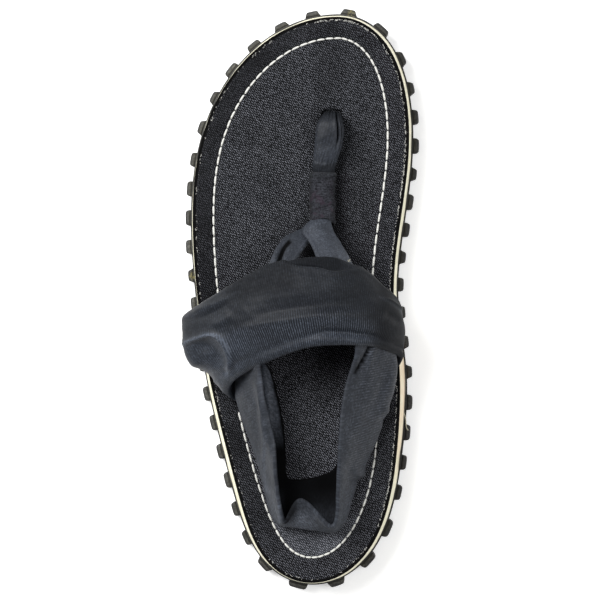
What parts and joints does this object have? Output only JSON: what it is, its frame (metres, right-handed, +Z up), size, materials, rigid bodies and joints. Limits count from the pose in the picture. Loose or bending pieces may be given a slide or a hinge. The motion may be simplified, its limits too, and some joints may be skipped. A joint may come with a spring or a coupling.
{
  "type": "toe post sandal",
  "caption": "Left toe post sandal: soft strap upper with an instep band and a heel sling on a footbed, foam midsole and lugged rubber outsole.",
  "frame": {"origin": "centre of the bounding box's foot, on the floor plane that the tread stands on", "axes": "+Y from heel to toe, +X to the inner side (big toe side) of this left sandal, +Z up"},
  "size_m": [0.1118, 0.277, 0.0634],
  "materials": {
    "outsole_rubber": "matt",
    "midsole_foam": "matt foam",
    "footbed_canvas": "woven",
    "upper_jersey": "soft knit",
    "wrap_knit": "ribbed knit",
    "anchor_webbing": "smooth webbing"
  },
  "bodies": {
    "root": {"outsole": "outsole_rubber", "midsole": "midsole_foam", "footbed": "footbed_canvas", "upper": "upper_jersey", "toe_post": "upper_jersey", "toe_post_wrap": "wrap_knit", "side_anchor": "anchor_webbing"}
  },
  "joints": []
}
